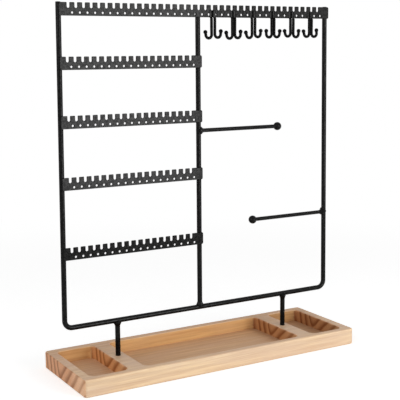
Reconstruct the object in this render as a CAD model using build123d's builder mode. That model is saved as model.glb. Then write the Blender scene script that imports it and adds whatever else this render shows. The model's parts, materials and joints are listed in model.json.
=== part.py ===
from build123d import *
import os
from math import cos, radians, sin

# Jewelry stand: a welded wire frame with toothed earring bars and hooks, on a pine board with three pockets.
# Millimetres. +Z is up, -Y is the front with the bars and hooks, +X is the side with the hooks.
# The origin is on the underside of the board, in the middle of it.

# Base board
base_length = 309.0
base_depth = 100.0
base_height = 17.0
base_corner_radius = 3.5
base_edge_round = 1.5
rim_wall = 8.0
end_wall = 9.7
divider_wall = 17.0
pocket_floor = 4.0
pocket_corner_radius = 6.0

# Frame of round rod
stand_height = 353.8
rod_diameter = 5.0
rod_end_round = 0.8
rod_above_bar = 0.5
frame_foot_span = 303.9
frame_top_span = 297.7
frame_bend_radius = 7.5
rail_rise = 35.2
upright_shift = 5.0
upright_lap = 6.0
weld_width = 1.0
weld_length = 3.2

# Posts between the rail and the board, with the screws that hold them from below
post_spacing = 195.0
post_wall = 1.0
post_socket = 4.0
post_bore_spare = 2.0
screw_diameter = 3.0
screw_engagement = 10.0
screw_head_diameter = 5.6
screw_head_height = 2.2
screw_head_round = 0.5
drive_slot_width = 0.9
drive_slot_length = 3.2
drive_slot_depth = 1.2
washer_diameter = 7.0
washer_thickness = 0.6
screw_recess = 5.0
recess_play = 0.6
screw_play = 0.2
thread_play = 0.05
socket_play = 0.1

# Earring bars of flat strip
bar_height = 12.0
bar_thickness = 1.2
bar_corner_radius = 1.5
bar_end_least = 6.5
bar_left_inset = 1.5
hole_pitch = 7.5
hole_diameter = 2.5
hole_height = 2.8
notch_width = 3.0
notch_depth = 5.4
first_bar_drop = 48.25
second_bar_drop = 53.3
third_bar_drop = 56.5
fourth_bar_drop = 65.5

# Wire hooks under the top bar
hook_pairs = 6
hook_wire = 2.7
hook_ball = 3.6
hook_stem_gap = 0.2
hook_lap = 7.0
hook_lap_thickness = 0.8
hook_drop = 20.7
hook_bend_radius = 3.35
hook_flare_angle = 10.0
hook_tip_run = 3.5
first_hook_offset = 14.5
last_hook_offset = 21.85

# Ball-ended arms
arm_rod = 4.0
arm_ball = 8.5
arm_weld_width = 1.6
upper_arm_height = 231.5
upper_arm_reach = 94.5
lower_arm_height = 136.0
lower_arm_reach = 92.05

# Where a welded rod's flared foot starts inside the rod that it meets, as a share of that rod's radius
weld_start_share = 0.3

# Length by which cuts run past the metal or wood that they pass through
overrun = 5.0

# Places that follow from the sizes above
rod_radius = rod_diameter / 2
foot_half = frame_foot_span / 2
top_half = frame_top_span / 2
rail_z = base_height + rail_rise
leg_rise = stand_height - rail_z
leg_direction = (top_half - foot_half, 0, leg_rise)
upright_x = -upright_shift
post_x = post_spacing / 2
post_diameter = screw_diameter + 2 * post_wall
post_foot_z = base_height - post_socket
screw_seat_z = screw_recess - washer_thickness
screw_tip_z = post_foot_z + screw_engagement
top_bar_z = stand_height - rod_above_bar - bar_height
bar_front = rod_radius + bar_thickness
hook_y = bar_front + hook_wire / 2

os.makedirs("parts", exist_ok=True)


def save(piece, name):
    """Label a finished piece and write its file."""
    piece.part.label = name
    export_step(piece.part, f"parts/{name}.step")


def leg_x(z):
    """Return a leg's distance from the middle at a height: the legs lean in a little towards the top."""
    return foot_half + (top_half - foot_half) * (z - rail_z) / leg_rise


def welded_rod(foot, direction, reach, diameter, mate_direction, flare=weld_width):
    """Build a rod whose flared foot is welded to a frame rod that runs through the point foot."""
    radius = diameter / 2
    weld_end = rod_radius + weld_length
    axis_plane = Plane(origin=foot, x_dir=direction, z_dir=(0, -1, 0))
    with BuildPart() as rod:
        with BuildSketch(axis_plane):
            with BuildLine():
                Polyline(
                    (weld_start_share * rod_radius, 0),
                    (weld_start_share * rod_radius, radius + flare),
                    (rod_radius, radius + flare),
                    (weld_end, radius),
                    (reach, radius),
                    (reach, 0),
                    close=True,
                )
            make_face()
        revolve(axis=Axis(foot, direction))
        with BuildSketch(Plane(origin=foot, z_dir=mate_direction)):
            Circle(rod_radius)
        extrude(amount=radius + flare + overrun, both=True, mode=Mode.SUBTRACT)
    return rod


def earring_bar(left_x, right_x, bottom_z):
    """Build a strip with teeth along its top and a hole under each tooth, welded on the front of the rods.

    The teeth are spread between the outsides of its two end rods, and its left end stops short of that.
    """
    length = right_x - left_x
    strip_length = length - bar_left_inset
    middle_x = (left_x + right_x) / 2
    middle_z = bottom_z + bar_height / 2
    notch_count = int((length - 2 * bar_end_least) / hole_pitch)
    notch_bottom_z = bottom_z + bar_height - notch_depth
    straight_notch = notch_depth - notch_width / 2 + overrun
    with BuildPart() as bar:
        with BuildSketch(Plane.XZ.offset(rod_radius)):
            with Locations((middle_x + bar_left_inset / 2, middle_z)):
                RectangleRounded(strip_length, bar_height, bar_corner_radius)
            with Locations((middle_x - hole_pitch / 4, notch_bottom_z + notch_width / 2)):
                with GridLocations(hole_pitch, 0, notch_count, 1):
                    Circle(notch_width / 2, mode=Mode.SUBTRACT)
                    Rectangle(
                        notch_width,
                        straight_notch,
                        align=(Align.CENTER, Align.MIN),
                        mode=Mode.SUBTRACT,
                    )
            with Locations((middle_x + hole_pitch / 4, bottom_z + hole_height)):
                with GridLocations(hole_pitch, 0, notch_count, 1):
                    Circle(hole_diameter / 2, mode=Mode.SUBTRACT)
        extrude(amount=bar_thickness)
    return bar


def hook(pair_x, side):
    """Build a J-shaped wire with a balled tip, pressed flat where it is welded on the bar.

    Side -1 is the left wire of a pair and 1 the right one.
    """
    stem_x = pair_x + side * (hook_stem_gap + hook_wire) / 2
    bend_z = top_bar_z - hook_drop + hook_wire / 2 + hook_bend_radius
    bend_angle = 180 - hook_flare_angle
    wire_plane = Plane.XZ.offset(hook_y)
    with BuildPart() as wire:
        with BuildLine(wire_plane):
            stem = Line((stem_x, top_bar_z + hook_lap), (stem_x, bend_z))
            bend = JernArc(stem @ 1, stem % 1, hook_bend_radius, side * bend_angle)
            tip_run = Line(
                bend @ 1,
                bend @ 1
                + Vector(
                    side * hook_tip_run * sin(radians(hook_flare_angle)),
                    0,
                    hook_tip_run * cos(radians(hook_flare_angle)),
                ),
            )
        with BuildSketch(Plane(origin=stem @ 0, z_dir=stem % 0)):
            Circle(hook_wire / 2)
        sweep()
        with Locations(tip_run @ 1):
            Sphere(hook_ball / 2)
        with BuildSketch(Plane.XZ.offset(bar_front + hook_lap_thickness)):
            with Locations((stem_x, top_bar_z)):
                Rectangle(
                    hook_wire + overrun,
                    hook_lap + overrun,
                    align=(Align.CENTER, Align.MIN),
                )
        extrude(amount=hook_wire, mode=Mode.SUBTRACT)
    return wire


def arm(foot, direction, reach, mate_direction):
    """Build an arm that ends in the middle of its ball."""
    return welded_rod(foot, direction, reach, arm_rod, mate_direction, arm_weld_width)


def arm_end_ball(foot, direction, reach):
    """Build the ball on an arm's free end, with the blind bore that takes the arm."""
    centre = Vector(foot) + Vector(direction) * reach
    with BuildPart() as ball:
        with Locations(centre):
            Sphere(arm_ball / 2)
        with BuildSketch(Plane(origin=centre, z_dir=-Vector(direction))):
            Circle(arm_rod / 2 + thread_play)
        extrude(amount=arm_ball / 2 + overrun, mode=Mode.SUBTRACT)
    return ball


def post(x):
    """Build a post under the rail, with the tapped bore in its foot drawn plain."""
    with BuildPart() as rod:
        add(welded_rod((x, 0, rail_z), (0, 0, -1), rail_z - post_foot_z, post_diameter, (1, 0, 0)).part)
        with BuildSketch(Plane((x, 0, post_foot_z))):
            Circle(screw_diameter / 2 + thread_play)
        extrude(amount=screw_engagement + post_bore_spare, mode=Mode.SUBTRACT)
    return rod


# Base board: pockets routed from above, post sockets in the divider walls, screw recesses from below
side_pocket_inner = post_x + divider_wall / 2
side_pocket_outer = base_length / 2 - end_wall
side_pocket_length = side_pocket_outer - side_pocket_inner
side_pocket_x = (side_pocket_outer + side_pocket_inner) / 2
middle_pocket_length = post_spacing - divider_wall
pocket_width = base_depth - 2 * rim_wall
post_places = [(-post_x, 0), (post_x, 0)]

with BuildPart() as base_tray:
    with BuildSketch():
        RectangleRounded(base_length, base_depth, base_corner_radius)
    extrude(amount=base_height)
    with BuildSketch(Plane.XY.offset(base_height)):
        RectangleRounded(middle_pocket_length, pocket_width, pocket_corner_radius)
        with Locations((-side_pocket_x, 0), (side_pocket_x, 0)):
            RectangleRounded(side_pocket_length, pocket_width, pocket_corner_radius)
    extrude(amount=pocket_floor - base_height, mode=Mode.SUBTRACT)
    edges_by_height = base_tray.edges().group_by(Axis.Z)
    fillet(edges_by_height[-1] + edges_by_height[0], base_edge_round)
    with BuildSketch(Plane.XY.offset(base_height)):
        with Locations(*post_places):
            Circle(post_diameter / 2 + socket_play)
    extrude(amount=-post_socket, mode=Mode.SUBTRACT)
    with BuildSketch():
        with Locations(*post_places):
            Circle(screw_diameter / 2 + screw_play)
    extrude(amount=base_height, mode=Mode.SUBTRACT)
    with BuildSketch():
        with Locations(*post_places):
            Circle(washer_diameter / 2 + recess_play)
    extrude(amount=screw_recess, mode=Mode.SUBTRACT)
save(base_tray, "base_tray")

# Outer frame: one rod bent to a U whose legs lean in a little, with both upper ends rounded over
with BuildPart() as outer_frame:
    with BuildLine(Plane.XZ):
        bent_rod = FilletPolyline(
            (-top_half, stand_height),
            (-foot_half, rail_z),
            (foot_half, rail_z),
            (top_half, stand_height),
            radius=frame_bend_radius,
        )
    with BuildSketch(Plane(origin=bent_rod @ 0, z_dir=bent_rod % 0)):
        Circle(rod_radius)
    sweep()
    fillet(outer_frame.edges().group_by(Axis.Z)[-1], rod_end_round)
save(outer_frame, "outer_frame")

# Centre upright: welded on the rail, it ends behind the top bar
upright_reach = top_bar_z + upright_lap - rail_z
centre_upright = welded_rod((upright_x, 0, rail_z), (0, 0, 1), upright_reach, rod_diameter, (1, 0, 0))
save(centre_upright, "centre_upright")

# Earring bars: their right ends are flush with the outsides of the rods that carry them
top_bar_half = leg_x(top_bar_z + bar_height / 2) + rod_radius
save(earring_bar(-top_bar_half, top_bar_half, top_bar_z), "top_earring_bar")

short_bar_z = top_bar_z
for number, drop in enumerate([first_bar_drop, second_bar_drop, third_bar_drop, fourth_bar_drop], start=1):
    short_bar_z -= drop
    left_end_x = -leg_x(short_bar_z + bar_height / 2) - rod_radius
    save(earring_bar(left_end_x, upright_x + rod_radius, short_bar_z), f"earring_bar_{number}")

# Hooks: evenly spaced back-to-back pairs on the front of the top bar's right half
first_hook_x = upright_x + first_hook_offset
hook_pitch = (top_half - last_hook_offset - first_hook_x) / (hook_pairs - 1)
for number in range(hook_pairs):
    pair_x = first_hook_x + number * hook_pitch
    save(hook(pair_x, -1), f"hook_{number + 1}_left")
    save(hook(pair_x, 1), f"hook_{number + 1}_right")

# Arms and their balls: the upper one points right from the centre upright, the lower one left from the frame
upper_foot = (upright_x, 0, upper_arm_height)
save(arm(upper_foot, (1, 0, 0), upper_arm_reach, (0, 0, 1)), "upper_arm")
save(arm_end_ball(upper_foot, (1, 0, 0), upper_arm_reach), "upper_arm_ball")

lower_foot = (leg_x(lower_arm_height), 0, lower_arm_height)
save(arm(lower_foot, (-1, 0, 0), lower_arm_reach, leg_direction), "lower_arm")
save(arm_end_ball(lower_foot, (-1, 0, 0), lower_arm_reach), "lower_arm_ball")

# Posts
save(post(-post_x), "left_post")
save(post(post_x), "right_post")

# Screws: pan heads with a cross recess below, plain shanks for the threads
with BuildPart() as base_screws:
    with BuildSketch(Plane.XY.offset(screw_seat_z)):
        with Locations(*post_places):
            Circle(screw_head_diameter / 2)
    extrude(amount=-screw_head_height)
    fillet(base_screws.edges().group_by(Axis.Z)[0], screw_head_round)
    with BuildSketch(Plane.XY.offset(screw_seat_z)):
        with Locations(*post_places):
            Circle(screw_diameter / 2)
    extrude(amount=screw_tip_z - screw_seat_z)
    with BuildSketch(Plane.XY.offset(screw_seat_z - screw_head_height)):
        with Locations(*post_places):
            Rectangle(drive_slot_length, drive_slot_width)
            Rectangle(drive_slot_width, drive_slot_length)
    extrude(amount=drive_slot_depth, mode=Mode.SUBTRACT)
save(base_screws, "base_screws")

# Washers between the screw heads and the board
with BuildPart() as base_washers:
    with BuildSketch(Plane.XY.offset(screw_seat_z)):
        with Locations(*post_places):
            Circle(washer_diameter / 2)
            Circle(screw_diameter / 2 + screw_play, mode=Mode.SUBTRACT)
    extrude(amount=washer_thickness)
save(base_washers, "base_washers")
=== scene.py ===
import json
from math import cos, pi, radians, sin, sqrt, tau

import bmesh
import bpy
from mathutils import Matrix, Vector, noise
from mathutils.geometry import tessellate_polygon


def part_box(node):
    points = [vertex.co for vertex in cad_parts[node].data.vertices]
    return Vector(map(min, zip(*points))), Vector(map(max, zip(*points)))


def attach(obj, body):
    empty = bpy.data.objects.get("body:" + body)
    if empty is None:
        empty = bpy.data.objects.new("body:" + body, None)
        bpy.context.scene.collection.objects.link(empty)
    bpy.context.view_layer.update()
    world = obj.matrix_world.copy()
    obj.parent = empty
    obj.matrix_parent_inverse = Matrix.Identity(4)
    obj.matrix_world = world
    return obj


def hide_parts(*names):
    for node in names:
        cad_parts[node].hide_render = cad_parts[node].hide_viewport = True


# Jewelry stand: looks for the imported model. Lengths are in metres, written as millimetres times mm.
# Materials work in millimetres, so the lengths for them are plain numbers.
mm = 0.001
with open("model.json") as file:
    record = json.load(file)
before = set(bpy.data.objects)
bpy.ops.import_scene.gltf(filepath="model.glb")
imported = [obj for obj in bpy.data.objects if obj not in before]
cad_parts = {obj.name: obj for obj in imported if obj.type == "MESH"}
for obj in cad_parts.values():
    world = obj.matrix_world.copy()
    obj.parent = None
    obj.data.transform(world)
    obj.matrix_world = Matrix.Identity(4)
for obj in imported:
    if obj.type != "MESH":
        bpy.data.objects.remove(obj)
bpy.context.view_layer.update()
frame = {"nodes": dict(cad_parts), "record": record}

# Camera, from a fit of the stand's edges in the photograph
camera_place = Vector((-470.9 * mm, -802.0 * mm, 309.7 * mm))
camera_turn = radians(-30.212)
camera_dip = radians(9.045)
camera_roll = radians(0.434)
camera_lens = 84.59
sensor_width = 36.0

# Surround and floor
world_fill = 0.44
floor_lift = 0.525
floor_colour = (0.82, 0.82, 0.82, 1)
floor_radius = 3.0
floor_segments = 96
floor_drop = 0.2 * mm
floor_fade_start = 0.32
floor_fade_end = 0.85

# Soft lamps: name, place, point that the lamp faces, width, height and power, in metres and watts
lamps = [
    ("key", (0.285, -0.8, 0.235), (0, 0, 0.235), 0.34, 0.45, 3.45),
    ("side", (0.63, -0.8, 0.39), (0, 0, 0.39), 0.36, 0.26, 0.7),
    ("fill", (-1.2, -0.5, 0.7), (0, 0, 0.12), 0.8, 0.8, 5.2),
]

# Powder coat: scales in features to a millimetre, then spans of tone and the levels that they give
coat_skin_scale = (1.0, 1.0, 1.0)
coat_mottle_scale = (0.5, 0.5, 0.5)
coat_skin_share = 0.35
coat_mottle_share = 0.65
coat_colour_span = (0.36, 0.66)
coat_dark = (0.002, 0.002, 0.002, 1)
coat_light = (0.006, 0.0058, 0.0056, 1)
coat_roughness_span = (0.3, 0.7)
coat_roughness = (0.15, 0.21)
coat_sheen_span = (0.38, 0.62)
coat_sheen = (0.07, 0.14)
coat_bump_strength = 0.03
coat_bump_depth = 0.06 * mm
# Painted shade: the shares of sheen left on the hooks below the top bar and on the tacks between hook
# stems, and the height in millimetres over which it fades in
hook_painted_shade = 0.4
tack_painted_shade = 0.1
shade_fade = 1.0

# Zinc plating
zinc_scale = (1.6, 1.6, 1.6)
zinc_detail = 3.0
zinc_span = (0.3, 0.7)
zinc_dark = (0.50, 0.51, 0.53, 1)
zinc_light = (0.68, 0.68, 0.67, 1)
zinc_roughness = (0.28, 0.46)
zinc_bump_strength = 0.1
zinc_bump_depth = 0.05 * mm

# Growth rings: valleys along X whose pith lies above the board
pith_y = 11.5
pith_width = 5.0
ring_slope = 1.38
ring_tilt = 0.3
ring_width = 15.5
ring_start = -6.3
ring_drift = 0.012
ring_steep_span = (-4.0, 7.0)
ring_steepness = (1.05, 0.35)
ring_uneven_scale = 0.07
ring_uneven_reach = 6.0
wander_scale = (0.006, 0.035, 0.035)
wander_reach = (0, 6, 5)
noise_middle = (0.5, 0.5, 0.5)

# Late wood along a ring and pores along a noise, as (place, share) stops
late_end_stops = [(0.0, 0.25), (0.1, 0.0), (0.45, 0.1), (0.62, 0.5), (0.78, 1.0), (0.92, 0.95), (1.0, 0.25)]
late_face_stops = [(0.0, 0.1), (0.3, 0.0), (0.75, 0.8), (0.9, 1.0), (1.0, 0.1)]
pore_stops = [(0.62, 0.0), (0.72, 1.0)]

# Grain: scales in features to a millimetre along X, Y and Z
fibre_scale = (0.022, 1.3, 1.3)
fibre_detail = 4.0
fibre_roughness = 0.62
streak_scale = (0.008, 0.28, 0.28)
streak_detail = 3.0
patch_scale = (0.018, 0.05, 0.05)
patch_detail = 1.0
pore_scale = (0.06, 2.4, 2.4)
pore_detail = 2.0

# Pine colours, with the spans over which they come in and the shares that they reach
face_early = (0.765, 0.565, 0.37, 1)
face_late = (0.70, 0.44, 0.24, 1)
face_late_share = 0.42
streak_span = (0.38, 0.62)
streak_share = (0.0, 0.9)
streak_colour = (0.885, 0.675, 0.435, 1)
patch_span = (0.38, 0.64)
patch_share = (0.0, 0.55)
patch_colour = (0.76, 0.56, 0.40, 1)
end_early_span = (-42.0, -6.0)
end_early_front = (0.90, 0.56, 0.335, 1)
end_early_back = (0.75, 0.385, 0.195, 1)
end_late_span = (-42.0, -8.0)
end_late_share = (0.6, 1.0)
end_late = (0.36, 0.128, 0.036, 1)
top_span = (-30.0, 40.0)
top_front = (0.96, 0.91, 0.91, 1)
top_back = (0.81, 0.70, 0.65, 1)
fibre_span = (0.38, 0.66)
fibre_share = (0.0, 0.3)
fibre_colour = (0.66, 0.42, 0.25, 1)
pore_share = 0.22
pore_colour = (0.55, 0.34, 0.2, 1)
# The routed pockets' walls, end walls and floors: the cut wood's own tone with painted shade of the recess
# in it
routed_wall_and_shade = (0.95, 0.77, 0.50, 1)
routed_end_and_shade = (0.97, 0.93, 0.76, 1)
routed_floor_and_shade = (0.85, 0.70, 0.58, 1)
# Painted shade that darkens the right pocket, over a span of X in millimetres
right_pocket_shade_span = (74.0, 94.0)
right_pocket_shade = (0.71, 0.67, 0.66, 1)
pine_relief_share = 0.35
pine_roughness_span = (0.3, 0.7)
pine_roughness = (0.46, 0.62)
pine_bump_strength = 0.25
pine_bump_depth = 0.12 * mm
pine_sheen = 0.35

# Where one colour of the board gives way to another, painted shade in the pockets included, in millimetres
# or in parts of a normal
pocket_x_fade = (145.0, 145.7)
pocket_y_fade = (42.2, 42.85)
pocket_floor_fade = (2.0, 3.0)
board_top_fade = (15.6, 16.8)
end_facing = (0.45, 0.8)
up_facing = (0.5, 0.9)

# Earring bars
bar_nodes = ["top_earring_bar"] + [f"earring_bar_{number}" for number in range(1, 5)]
hole_pitch = 7.5 * mm
hole_radius = 1.0 * mm
hole_height = 2.8 * mm
notch_radius = 1.3 * mm
notch_depth = 5.1 * mm
bar_end_least = 6.5 * mm
bar_left_inset = 1.5 * mm
bar_corner_radius = 1.5 * mm
tooth_corner_radius = 0.7 * mm
bar_edge = 0.4 * mm
count_slack = 1e-6
arc_step = radians(18)
plate_crease = radians(20)
round_crease = radians(32)

# Hooks, whose stems are pressed on the top bar along their lap
hook_wire_radius = 1.45 * mm
hook_ball_radius = 2.05 * mm
hook_bend_radius = 3.3 * mm
hook_tip_run = 3.1 * mm
hook_lap = 7.0 * mm
hook_lap_thickness = 0.6 * mm
hook_lap_sink = 0.1 * mm
hook_lap_spread = 0.25 * mm
hook_lap_ramp = 1.0 * mm
hook_lap_early = 0.7
hook_lap_blend = 0.5
hook_cut_round = 0.4 * mm
hook_bow = 0.07 * mm
hook_sides = 20
hook_bend_steps = 16
hook_cut_shares = (0, 0.15, 0.5, 1)
hook_lap_shares = (0.3, 0.6, 0.95, 1.02, 1.1)
hook_stem_shares = (0.5, 0.75, 1)
hook_ball_turns = [*range(-70, 90, 10), 88]

# Each pair's stem gap in millimetres, then each wire's flare in degrees and extra drop in millimetres
hook_pairs = [
    (0.75, (9.5, 0.7), (4.2, 0.1)),
    (0.05, (11.0, 1.0), (2.1, 0.5)),
    (0.65, (17.0, 0.4), (5.0, -0.5)),
    (0.05, (1.0, -0.2), (5.5, -0.4)),
    (0.65, (15.0, -1.1), (1.7, -0.4)),
    (0.05, (13.3, -0.8), (-4.3, -0.8)),
]

# Welds
rod_radius = 2.5 * mm
arm_radius = 2.0 * mm
post_radius = 2.5 * mm
weld_stand_off = 0.35 * mm
weld_bead_radius = 0.85 * mm
weld_ripple = 0.12
weld_ripples = 15
weld_swell = 0.15
weld_swells = 2
arm_weld_spread = 1.0 * mm
lower_arm_weld_rise = 0.9 * mm
arm_foot_inset = 0.75 * mm
weld_sides = 10
weld_steps = 72
tack_radius = 0.7 * mm
tack_spread = 1.75 * mm
tack_behind_bar = 0.4 * mm
tack_foot = 1.4 * mm
tack_length = 4.8 * mm
tack_steps = 18
tack_ripple = 0.16
tack_ripples = 4
tack_bluntness = 6
tack_end_share = 0.05
hook_tack_radius = 0.95 * mm
hook_tack_front = 1.0 * mm
hook_tack_foot = 0.3 * mm
hook_tack_length = 6.5 * mm

# Unevenness of wires, tacks and weld beads: its height, then its size
wire_unevenness = (0.06 * mm, 1.6 * mm)
tack_unevenness = (0.12 * mm, 0.9 * mm)
weld_unevenness = (0.12 * mm, 1.1 * mm)
seed_steps = (7.3, 3.1, 5.7)


class Graph:
    """A material whose nodes are added and fed by short calls."""

    def __init__(self, name):
        self.material = bpy.data.materials.new(name)
        self.material.use_nodes = True
        self.tree = self.material.node_tree
        self.shader = self.tree.nodes["Principled BSDF"]

    def feed(self, socket, value):
        """Link an output to a socket, or set the socket to a constant."""
        if isinstance(value, bpy.types.NodeSocket):
            self.tree.links.new(value, socket)
        else:
            socket.default_value = value

    def node(self, kind, inputs, **settings):
        """Add a node with its settings and feed its inputs, by name or by number."""
        made = self.tree.nodes.new("ShaderNode" + kind)
        for setting, value in settings.items():
            setattr(made, setting, value)
        for key, value in inputs.items():
            self.feed(made.inputs[key], value)
        return made

    def math(self, operation, first, second=0.0, third=0.0):
        """Return the result of one sum on numbers."""
        return self.node("Math", {0: first, 1: second, 2: third}, operation=operation).outputs[0]

    def scaled(self, vector, factors):
        """Return a vector multiplied part by part."""
        return self.node("VectorMath", {0: vector, 1: factors}, operation="MULTIPLY").outputs[0]

    def axes(self, vector):
        """Return a vector's three parts by their names X, Y and Z."""
        return self.node("SeparateXYZ", {0: vector}).outputs

    def cloud(self, vector, detail=2.0, roughness=0.5):
        """Return soft noise around one half, at one feature to a unit of the vector."""
        inputs = {"Vector": vector, "Scale": 1.0, "Detail": detail, "Roughness": roughness}
        return self.node("TexNoise", inputs).outputs["Fac"]

    def ramp(self, value, stops):
        """Return a grey level read from a ramp of (place, level) stops."""
        made = self.node("ValToRGB", {0: value})
        elements = made.color_ramp.elements
        while len(elements) < len(stops):
            elements.new(1.0)
        for element, (place, level) in zip(elements, stops):
            element.position = place
            element.color = (level, level, level, 1)
        return made.outputs["Color"]

    def between(self, value, low, high, to_low=0.0, to_high=1.0):
        """Return a value mapped smoothly from one range to another."""
        inputs = {"Value": value, "From Min": low, "From Max": high, "To Min": to_low, "To Max": to_high}
        return self.node("MapRange", inputs, interpolation_type="SMOOTHSTEP").outputs["Result"]

    def mix(self, factor, first, second, blend="MIX"):
        """Return a blend of two colours."""
        made = self.node("Mix", {}, data_type="RGBA", blend_type=blend)
        self.feed(made.inputs["Factor"], factor)
        self.feed(made.inputs[6], first)
        self.feed(made.inputs[7], second)
        return made.outputs[2]

    def place(self):
        """Return the object's coordinates in millimetres."""
        return self.scaled(self.node("TexCoord", {}).outputs["Object"], (1 / mm, 1 / mm, 1 / mm))

    def dress(self, colour, roughness, height, bump_strength, bump_depth, **constants):
        """Feed the shader its colour, roughness and relief, and set its constants."""
        bump = self.node("Bump", {"Height": height, "Strength": bump_strength, "Distance": bump_depth})
        self.feed(self.shader.inputs["Base Color"], colour)
        self.feed(self.shader.inputs["Roughness"], roughness)
        self.feed(self.shader.inputs["Normal"], bump.outputs["Normal"])
        for name, value in constants.items():
            self.shader.inputs[name.replace("_", " ")].default_value = value
        return self.material


def powder_coat(name, shade_below=None, shade_share=1.0):
    """Satin black powder coat: a fine orange-peel skin, faintly mottled.

    Where a height is given, the sheen below it drops to the given share: painted shade on this copy of the
    coat.
    """
    graph = Graph(name)
    place = graph.place()
    skin = graph.cloud(graph.scaled(place, coat_skin_scale))
    mottle = graph.cloud(graph.scaled(place, coat_mottle_scale))
    mottled = graph.math("MULTIPLY", mottle, coat_mottle_share)
    tone = graph.math("MULTIPLY_ADD", skin, coat_skin_share, mottled)
    colour = graph.mix(graph.between(tone, *coat_colour_span), coat_dark, coat_light)
    roughness = graph.between(tone, *coat_roughness_span, *coat_roughness)
    sheen = graph.between(tone, *coat_sheen_span, *coat_sheen)
    if shade_below is not None:
        height = graph.axes(place)["Z"]
        shaded = graph.between(height, shade_below - shade_fade, shade_below, shade_share, 1.0)
        sheen = graph.math("MULTIPLY", sheen, shaded)
    graph.feed(graph.shader.inputs["Specular IOR Level"], sheen)
    return graph.dress(colour, roughness, skin, coat_bump_strength, coat_bump_depth)


def zinc():
    """Zinc plated steel: bluish grey with a fine crystal mottle."""
    graph = Graph("zinc_steel")
    place = graph.place()
    crystals = graph.cloud(graph.scaled(place, zinc_scale), detail=zinc_detail)
    colour = graph.mix(graph.between(crystals, *zinc_span), zinc_dark, zinc_light)
    roughness = graph.between(crystals, *zinc_span, *zinc_roughness)
    return graph.dress(colour, roughness, crystals, zinc_bump_strength, zinc_bump_depth, Metallic=1.0)


def ring_phase(graph, place):
    """Return how far a point is through its growth ring."""
    wander = graph.node("TexNoise", {"Vector": graph.scaled(place, wander_scale), "Scale": 1.0})
    moved = graph.node("VectorMath", {0: wander.outputs["Color"], 1: noise_middle}, operation="SUBTRACT")
    reach = graph.scaled(moved.outputs[0], wander_reach)
    warped = graph.node("VectorMath", {0: reach, 1: place}, operation="ADD")
    axes = graph.axes(warped.outputs[0])
    side = graph.math("SUBTRACT", axes["Y"], pith_y)
    spread = graph.math("SQRT", graph.math("MULTIPLY_ADD", side, side, pith_width**2))
    lean = graph.math("MULTIPLY_ADD", side, ring_tilt, graph.math("MULTIPLY", spread, ring_slope))
    steepness = graph.between(side, *ring_steep_span, *ring_steepness)
    sunk = graph.math("SUBTRACT", ring_start, graph.math("MULTIPLY", axes["Z"], steepness))
    fall = graph.math("MULTIPLY_ADD", axes["X"], ring_drift, sunk)
    depth = graph.math("ADD", lean, fall)
    along = graph.math("MULTIPLY", depth, ring_uneven_scale)
    uneven = graph.node("TexNoise", {"W": along, "Scale": 1.0}, noise_dimensions="1D")
    stretched = graph.math("MULTIPLY_ADD", uneven.outputs["Fac"], ring_uneven_reach, depth)
    return graph.math("FRACT", graph.math("DIVIDE", stretched, ring_width))


def pocket_mask(graph, place):
    """Return 1 on the routed pockets' floors and walls and 0 on the board's outside."""
    axes = graph.axes(place)
    inside_y = graph.between(graph.math("ABSOLUTE", axes["Y"]), *pocket_y_fade, 1.0, 0.0)
    inside_x = graph.between(graph.math("ABSOLUTE", axes["X"]), *pocket_x_fade, 1.0, 0.0)
    below = graph.between(axes["Z"], *board_top_fade, 1.0, 0.0)
    above = graph.between(axes["Z"], *pocket_floor_fade)
    in_plan = graph.math("MULTIPLY", inside_x, inside_y)
    in_height = graph.math("MULTIPLY", below, above)
    return graph.math("MULTIPLY", in_plan, in_height)


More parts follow.
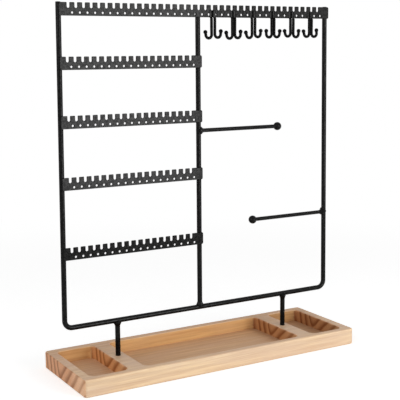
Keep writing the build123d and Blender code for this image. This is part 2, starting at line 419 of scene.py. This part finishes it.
def pine():
    """Pale pine: strong ring stripes on end grain, soft lengthwise streaks on the long faces."""
    graph = Graph("pine")
    place = graph.place()
    phase = ring_phase(graph, place)
    late_end = graph.ramp(phase, late_end_stops)
    late_face = graph.ramp(phase, late_face_stops)
    normal = graph.axes(graph.node("TexCoord", {}).outputs["Normal"])
    end_grain = graph.between(graph.math("ABSOLUTE", normal["X"]), *end_facing)
    fibre = graph.cloud(graph.scaled(place, fibre_scale), fibre_detail, fibre_roughness)
    streak = graph.cloud(graph.scaled(place, streak_scale), streak_detail)
    patch = graph.cloud(graph.scaled(place, patch_scale), patch_detail)
    pores = graph.ramp(graph.cloud(graph.scaled(place, pore_scale), pore_detail), pore_stops)
    axes = graph.axes(place)

    # Long faces, then end grain, which is darker towards the back
    face = graph.mix(graph.math("MULTIPLY", late_face, face_late_share), face_early, face_late)
    face = graph.mix(graph.between(streak, *streak_span, *streak_share), face, streak_colour)
    face = graph.mix(graph.between(patch, *patch_span, *patch_share), face, patch_colour)
    early = graph.mix(graph.between(axes["Y"], *end_early_span), end_early_front, end_early_back)
    late = graph.math("MULTIPLY", late_end, graph.between(axes["Y"], *end_late_span, *end_late_share))
    end = graph.mix(late, early, end_late)
    wood = graph.mix(end_grain, face, end)

    # The board's top, also darker towards the back, and the fine grain
    faces_up = graph.between(normal["Z"], *up_facing)
    top = graph.math("MULTIPLY", faces_up, graph.between(axes["Z"], *board_top_fade))
    top_towards_back = graph.mix(graph.between(axes["Y"], *top_span), top_front, top_back)
    wood = graph.mix(top, wood, top_towards_back, blend="MULTIPLY")
    fibres = graph.between(fibre, *fibre_span, *fibre_share)
    wood = graph.mix(fibres, wood, fibre_colour, blend="MULTIPLY")
    wood = graph.mix(graph.math("MULTIPLY", pores, pore_share), wood, pore_colour, blend="MULTIPLY")

    # The routed pockets: their own tone with painted shade of the recess in it, and more painted shade in
    # the right one
    routed_and_shade = graph.mix(end_grain, routed_wall_and_shade, routed_end_and_shade)
    routed_and_shade = graph.mix(faces_up, routed_and_shade, routed_floor_and_shade)
    on_right = graph.between(axes["X"], *right_pocket_shade_span)
    routed_and_shade = graph.mix(on_right, routed_and_shade, right_pocket_shade, blend="MULTIPLY")
    wood = graph.mix(pocket_mask(graph, place), wood, routed_and_shade, blend="MULTIPLY")

    relief = graph.math("MULTIPLY_ADD", late_end, pine_relief_share, fibre)
    roughness = graph.between(fibre, *pine_roughness_span, *pine_roughness)
    bump = (pine_bump_strength, pine_bump_depth)
    return graph.dress(wood, roughness, relief, *bump, Specular_IOR_Level=pine_sheen)


top_bar_low, top_bar_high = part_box("top_earring_bar")
coat = powder_coat("black_powder_coat")
# Copies of the coat with painted shade: the hooks darker below the top bar, and the tacks darker in the
# grooves between hook stems
shaded_hook_coat = powder_coat("black_powder_coat_on_hooks", top_bar_low.z / mm, hook_painted_shade)
shaded_tack_coat = powder_coat("black_powder_coat_on_hook_tacks", top_bar_high.z / mm, tack_painted_shade)
finishes = {"pine": pine(), "black_powder_coat": coat, "zinc_steel": zinc()}


def dress_cad_nodes():
    """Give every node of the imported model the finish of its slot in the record."""
    for subpart in frame["record"]["subparts"]:
        node = frame["nodes"][subpart["node"]]
        node.data.materials.clear()
        node.data.materials.append(finishes[subpart["material_slot"]])


def add_piece(name, builder, replaced=(), crease=round_crease, finish=coat):
    """Turn a finished bmesh into a coated piece of the stand, in place of the nodes that it replaces."""
    bmesh.ops.recalc_face_normals(builder, faces=builder.faces)
    mesh = bpy.data.meshes.new(name)
    builder.to_mesh(mesh)
    builder.free()
    mesh.materials.append(finish)
    mesh.shade_smooth()
    mesh.set_sharp_from_angle(angle=crease)
    piece = bpy.data.objects.new(name, mesh)
    bpy.context.scene.collection.objects.link(piece)
    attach(piece, "root")
    if replaced:
        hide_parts(*replaced)


def clamp(value):
    """Return a number held between 0 and 1."""
    return min(1, max(0, value))


def arc(centre, radius, start, end):
    """Return the points of an arc in the plane of the bars, its ends included."""
    steps = max(2, round(abs(end - start) / arc_step))
    angles = [start + (end - start) * step / steps for step in range(steps + 1)]
    return [Vector((centre[0] + radius * cos(a), centre[1] + radius * sin(a))) for a in angles]


def bar_loops(left, right, bottom, top):
    """Return a bar's outline and its holes as closed loops, each with the metal on its left."""
    rod_side = left - bar_left_inset
    count = int((right - rod_side - 2 * bar_end_least) / hole_pitch + count_slack)
    middle = (rod_side + right) / 2
    first = middle - hole_pitch / 4 - hole_pitch * (count - 1) / 2
    notch_floor = top - notch_depth + notch_radius
    corner = bar_corner_radius
    tooth = tooth_corner_radius
    outline = arc((left + corner, bottom + corner), corner, pi, 1.5 * pi)
    outline += arc((right - corner, bottom + corner), corner, 1.5 * pi, tau)
    outline += arc((right - corner, top - corner), corner, 0, pi / 2)
    for number in reversed(range(count)):
        x = first + number * hole_pitch
        outline += arc((x + notch_radius + tooth, top - tooth), tooth, pi / 2, pi)
        outline += arc((x, notch_floor), notch_radius, 0, -pi)
        outline += arc((x - notch_radius - tooth, top - tooth), tooth, 0, pi / 2)
    outline += arc((left + corner, top - corner), corner, pi / 2, pi)
    loops = [outline]
    for number in range(count):
        x = first + hole_pitch / 2 + number * hole_pitch
        loops.append(arc((x, bottom + hole_height), hole_radius, 0, -tau)[:-1])
    return loops


def inset(loop, distance):
    """Return a loop moved towards its metal by a distance."""
    moved = []
    for number, point in enumerate(loop):
        before = (point - loop[number - 1]).normalized()
        after = (loop[(number + 1) % len(loop)] - point).normalized()
        first = Vector((-before.y, before.x))
        second = Vector((-after.y, after.x))
        moved.append(point + distance * (first + second) / (1 + first.dot(second)))
    return moved


def plate(loops, front, back, edge):
    """Return a flat plate between two depths along Y, its edges rounded over on both sides."""
    builder = bmesh.new()
    soft = edge * (1 - cos(pi / 4))
    levels = [(edge, front), (soft, front + soft), (0, front + edge)]
    levels += [(0, back - edge), (soft, back - soft), (edge, back)]
    rings = []
    for distance, depth in levels:
        shifted = [inset(loop, distance) for loop in loops]
        rings.append([[builder.verts.new((p.x, depth, p.y)) for p in loop] for loop in shifted])
    for near, far in zip(rings, rings[1:]):
        for near_loop, far_loop in zip(near, far):
            for number, vertex in enumerate(near_loop):
                builder.faces.new((near_loop[number - 1], vertex, far_loop[number], far_loop[number - 1]))
    for ring in (rings[0], rings[-1]):
        corners = [vertex for loop in ring for vertex in loop]
        flat = [[Vector((vertex.co.x, vertex.co.z, 0)) for vertex in loop] for loop in ring]
        for triangle in tessellate_polygon(flat):
            builder.faces.new([corners[index] for index in triangle])
    return builder


def sweep(builder, points, radii, sides, closed=False):
    """Add a tube of varying radius along the points; an open tube is capped at both ends."""
    last = len(points) - 1
    side = None
    rings = []
    for number, (point, radius) in enumerate(zip(points, radii)):
        if closed:
            along = points[(number + 1) % len(points)] - points[number - 1]
        else:
            along = points[min(number + 1, last)] - points[max(number - 1, 0)]
        along = along.normalized()
        side = along.orthogonal() if side is None else side
        side = (side - along * side.dot(along)).normalized()
        up = along.cross(side)
        turns = [tau * step / sides for step in range(sides)]
        rings.append([builder.verts.new(point + radius * (side * cos(t) + up * sin(t))) for t in turns])
    pairs = list(zip(rings, rings[1:]))
    if closed:
        turn = max(range(sides), key=lambda shift: -(rings[0][shift].co - rings[-1][0].co).length)
        pairs.append((rings[-1], rings[0][turn:] + rings[0][:turn]))
    for near, far in pairs:
        for step in range(sides):
            builder.faces.new((near[step - 1], near[step], far[step], far[step - 1]))
    if not closed:
        builder.faces.new(rings[0])
        builder.faces.new(rings[-1])


def roughen(builder, amount, size, seed):
    """Move every corner a little along its normal by smooth noise."""
    builder.normal_update()
    offset = Vector([seed * step for step in seed_steps])
    for vertex in builder.verts:
        vertex.co += vertex.normal * amount * noise.noise(vertex.co / size + offset)


def make_bars():
    """Build the five earring bars with eased edges and rounded teeth."""
    for node in bar_nodes:
        low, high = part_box(node)
        builder = plate(bar_loops(low.x, high.x, low.z, high.z), low.y, high.y, bar_edge)
        add_piece(f"{node}_plate", builder, [node], plate_crease)


def tack(builder, foot, radius, seed, length=tack_length):
    """Add a short upright weld bead that swells and narrows along its length."""
    stations = [step / tack_steps for step in range(tack_steps + 1)]
    points = [foot + Vector((0, 0, length * share)) for share in stations]
    radii = []
    for share in stations:
        rounded = max(tack_end_share, sqrt(max(0, 1 - (2 * share - 1) ** tack_bluntness)))
        rippled = 1 + tack_ripple * sin(share * tau * tack_ripples + seed)
        radii.append(radius * rounded * rippled)
    sweep(builder, points, radii, weld_sides)
    roughen(builder, *tack_unevenness, seed)


def make_bar_tacks():
    """Build the tacks behind the bars, in the corners between a bar's back and the rods that carry it."""
    upright_low, upright_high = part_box("centre_upright")
    upright_x = (upright_low.x + upright_high.x) / 2
    for node in bar_nodes:
        low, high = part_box(node)
        builder = bmesh.new()
        rods = sorted({low.x - bar_left_inset + rod_radius, upright_x, high.x - rod_radius})
        if rods[-1] - rods[-2] < rod_radius:
            rods.pop()
        for seed, x in enumerate(rods):
            for side in (-1, 1):
                foot = Vector((x + side * tack_spread, high.y + tack_behind_bar, low.z + tack_foot))
                if foot.x > low.x:
                    tack(builder, foot, tack_radius, seed * 2 + side)
        add_piece(f"{node}_tacks", builder)


def hook_wire(stem_x, y, top, bend_z, side, flare):
    """Return the centre points and radii of a J-shaped wire with a balled tip."""
    stem_length = top - bend_z
    bend_length = hook_bend_radius * (pi - flare)
    length = stem_length + bend_length + hook_tip_run
    bend_centre = Vector((stem_x + side * hook_bend_radius, y, bend_z))
    run_way = Vector((side * sin(flare), 0, cos(flare)))

    def point(distance):
        if distance <= stem_length:
            bow = side * hook_bow * sin(pi * distance / stem_length)
            return Vector((stem_x + bow, y, top - distance))
        turned = min(distance - stem_length, bend_length) / hook_bend_radius
        on_bend = bend_centre - hook_bend_radius * Vector((side * cos(turned), 0, sin(turned)))
        return on_bend + run_way * max(0, distance - stem_length - bend_length)

    def radius(distance):
        cut = clamp(distance / hook_cut_round)
        wire = hook_wire_radius - hook_cut_round * (1 - sqrt(1 - (1 - cut) ** 2))
        from_ball = distance - length
        ball = sqrt(max(0, hook_ball_radius**2 - from_ball**2))
        return ball if from_ball > 0 else max(wire, ball)

    stations = [hook_cut_round * share for share in hook_cut_shares]
    stations += [hook_lap * share for share in hook_lap_shares]
    stations += [stem_length * share for share in hook_stem_shares]
    bend_steps = range(1, hook_bend_steps + 1)
    stations += [stem_length + bend_length * step / hook_bend_steps for step in bend_steps]
    stations += [length + hook_ball_radius * sin(radians(turn)) for turn in hook_ball_turns]
    return [point(s) for s in stations], [radius(s) for s in stations]


def press_lap(builder, stem_x, side, y, bar_front, bar_bottom):
    """Press a wire to a D where it lies on the bar.

    It spreads and is squarer on its outer side, and stays round towards the groove of its pair.
    """
    for vertex in builder.verts:
        on_bar = clamp((vertex.co.z - bar_bottom) / hook_lap_ramp + hook_lap_early)
        outward = side * (vertex.co.x - stem_x) / hook_wire_radius
        forward = clamp((y - vertex.co.y) / hook_wire_radius)
        squarer = (2 * forward**2 - forward**4) ** 0.25
        dome = forward + (squarer - forward) * clamp(hook_lap_blend + outward)
        pressed = bar_front + hook_lap_sink - hook_lap_thickness * dome
        vertex.co.y += on_bar * (pressed - vertex.co.y)
        vertex.co.x += on_bar * side * hook_lap_spread * max(0, outward)


def make_hooks():
    """Build the six pairs of hooks, each bent a little differently, and the tack that holds each pair."""
    tack_y = top_bar_low.y - hook_tack_front + hook_tack_radius
    for number, (gap, left, right) in enumerate(hook_pairs, start=1):
        low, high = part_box(f"hook_{number}_left")
        pair_x = (high.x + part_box(f"hook_{number}_right")[0].x) / 2
        y = (low.y + high.y) / 2
        for side, word, (flare, drop) in ((-1, "left", left), (1, "right", right)):
            node = f"hook_{number}_{word}"
            low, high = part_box(node)
            stem_x = pair_x + side * (gap * mm / 2 + hook_wire_radius)
            bend_z = low.z + hook_wire_radius + hook_bend_radius - drop * mm
            builder = bmesh.new()
            points, radii = hook_wire(stem_x, y, high.z, bend_z, side, radians(flare))
            sweep(builder, points, radii, hook_sides)
            press_lap(builder, stem_x, side, y, top_bar_low.y, top_bar_low.z)
            roughen(builder, *wire_unevenness, number * 2 + side)
            # The wires take the copy of the coat with painted shade below the top bar
            add_piece(f"{node}_wire", builder, [node], finish=shaded_hook_coat)
        builder = bmesh.new()
        foot = Vector((pair_x, tack_y, top_bar_low.z + hook_tack_foot))
        tack(builder, foot, hook_tack_radius, number, hook_tack_length)
        # The tack takes the copy of the coat with painted shade, which darkens the groove between the
        # pair's stems
        add_piece(f"hook_{number}_tack", builder, finish=shaded_tack_coat)


def saddle_weld(name, foot, way, mate_way, radius, seed, stand_off=weld_stand_off, rise=0.0):
    """Build the rippled bead around a rod where it meets another rod that runs through the point foot."""
    cross_way = way.cross(mate_way)
    ring = radius + stand_off
    mate = rod_radius + weld_stand_off
    points = []
    radii = []
    for step in range(weld_steps):
        turn = tau * step / weld_steps
        height = sqrt(max(0, mate**2 - (ring * sin(turn)) ** 2))
        around = ring * (cos(turn) * mate_way + sin(turn) * cross_way)
        points.append(foot + around + rise * mate_way + height * way)
        ripple = weld_ripple * sin(turn * weld_ripples + seed)
        swell = weld_swell * sin(turn * weld_swells + seed)
        radii.append(weld_bead_radius * (1 + ripple + swell))
    builder = bmesh.new()
    sweep(builder, points, radii, weld_sides, closed=True)
    roughen(builder, *weld_unevenness, seed)
    add_piece(name, builder)


def make_welds():
    """Build the beads at the feet of the upright and the arms and at the heads of the posts."""
    up = Vector((0, 0, 1))
    along = Vector((1, 0, 0))
    rail_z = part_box("outer_frame")[0].z + rod_radius
    upright_low, upright_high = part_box("centre_upright")
    foot = Vector(((upright_low.x + upright_high.x) / 2, 0, rail_z))
    saddle_weld("upright_weld", foot, up, along, rod_radius, seed=1)
    for seed, node in enumerate(("left_post", "right_post"), start=2):
        low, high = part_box(node)
        foot = Vector(((low.x + high.x) / 2, 0, rail_z))
        saddle_weld(f"{node}_weld", foot, -up, along, post_radius, seed)
    low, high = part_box("upper_arm")
    foot = Vector((low.x - arm_foot_inset, 0, (low.z + high.z) / 2))
    saddle_weld("upper_arm_weld", foot, along, up, arm_radius, seed=4, stand_off=arm_weld_spread)
    low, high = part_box("lower_arm")
    foot = Vector((high.x + arm_foot_inset, 0, (low.z + high.z) / 2))
    spread = {"stand_off": arm_weld_spread, "rise": lower_arm_weld_rise}
    saddle_weld("lower_arm_weld", foot, -along, up, arm_radius, seed=5, **spread)


def light_path_white(tree):
    """Return 1 for the rays that should see plain white: camera, glossy and transmission rays."""
    path = tree.nodes.new("ShaderNodeLightPath")
    seen = path.outputs["Is Camera Ray"]
    for name in ("Is Glossy Ray", "Is Transmission Ray"):
        either = tree.nodes.new("ShaderNodeMath")
        either.operation = "MAXIMUM"
        tree.links.new(seen, either.inputs[0])
        tree.links.new(path.outputs[name], either.inputs[1])
        seen = either.outputs[0]
    return seen


def make_world():
    """Surround the stand with white, which lights it at a lower level."""
    world = bpy.data.worlds.new("studio")
    bpy.context.scene.world = world
    world.use_nodes = True
    tree = world.node_tree
    background = tree.nodes["Background"]
    background.inputs["Color"].default_value = (1, 1, 1, 1)
    strength = tree.nodes.new("ShaderNodeMapRange")
    strength.inputs["To Min"].default_value = world_fill
    strength.inputs["To Max"].default_value = 1.0
    tree.links.new(light_path_white(tree), strength.inputs["Value"])
    tree.links.new(strength.outputs["Result"], background.inputs["Strength"])


def floor_material():
    """Pale floor that takes the stand's shadow and fades to plain white away from it."""
    graph = Graph("floor")
    graph.tree.nodes.remove(graph.shader)
    seen = light_path_white(graph.tree)
    place = graph.node("TexCoord", {}).outputs["Object"]
    distance = graph.node("VectorMath", {0: place}, operation="LENGTH")
    fade = graph.between(distance.outputs["Value"], floor_fade_start, floor_fade_end)
    matt = graph.node("BsdfDiffuse", {"Color": floor_colour}).outputs[0]
    lift = graph.node("Emission", {"Strength": graph.math("MULTIPLY", seen, floor_lift)}).outputs[0]
    white = graph.node("Emission", {"Strength": graph.between(seen, 0, 1, world_fill, 1.0)}).outputs[0]
    lit = graph.node("AddShader", {0: matt, 1: lift}).outputs[0]
    mixed = graph.node("MixShader", {0: fade, 1: lit, 2: white}).outputs[0]
    graph.feed(graph.tree.nodes["Material Output"].inputs["Surface"], mixed)
    return graph.material


def make_floor():
    """Lay a round floor just under the board."""
    builder = bmesh.new()
    bmesh.ops.create_circle(builder, cap_ends=True, segments=floor_segments, radius=floor_radius)
    mesh = bpy.data.meshes.new("floor")
    builder.to_mesh(mesh)
    builder.free()
    mesh.materials.append(floor_material())
    floor = bpy.data.objects.new("floor", mesh)
    floor.location.z = -floor_drop
    bpy.context.scene.collection.objects.link(floor)


def softbox(name, place, target, width, height, power):
    """Hang a soft lamp that faces a point of the stand."""
    light = bpy.data.lights.new(name, "AREA")
    light.shape = "RECTANGLE"
    light.size = width
    light.size_y = height
    light.energy = power
    holder = bpy.data.objects.new(name, light)
    holder.location = place
    holder.rotation_euler = (Vector(target) - Vector(place)).to_track_quat("-Z", "Y").to_euler()
    bpy.context.scene.collection.objects.link(holder)


def make_camera():
    """Place the camera where the photograph was taken from."""
    ahead = Vector((-sin(camera_turn), cos(camera_turn), 0))
    right = Vector((cos(camera_turn), sin(camera_turn), 0))
    up = Vector((0, 0, 1))
    view = ahead * cos(camera_dip) - up * sin(camera_dip)
    down = -ahead * sin(camera_dip) - up * cos(camera_dip)
    x_axis = right * cos(camera_roll) + down * sin(camera_roll)
    y_axis = right * sin(camera_roll) - down * cos(camera_roll)
    data = bpy.data.cameras.new("camera")
    data.sensor_width = sensor_width
    data.lens = camera_lens
    camera = bpy.data.objects.new("camera", data)
    turn = Matrix((x_axis, y_axis, -view)).transposed().to_4x4()
    camera.matrix_world = Matrix.Translation(camera_place) @ turn
    bpy.context.scene.collection.objects.link(camera)
    bpy.context.scene.camera = camera


dress_cad_nodes()
make_bars()
make_bar_tacks()
make_hooks()
make_welds()
make_world()
make_floor()
for lamp in lamps:
    softbox(*lamp)
make_camera()
bpy.context.scene.view_settings.view_transform = "Standard"
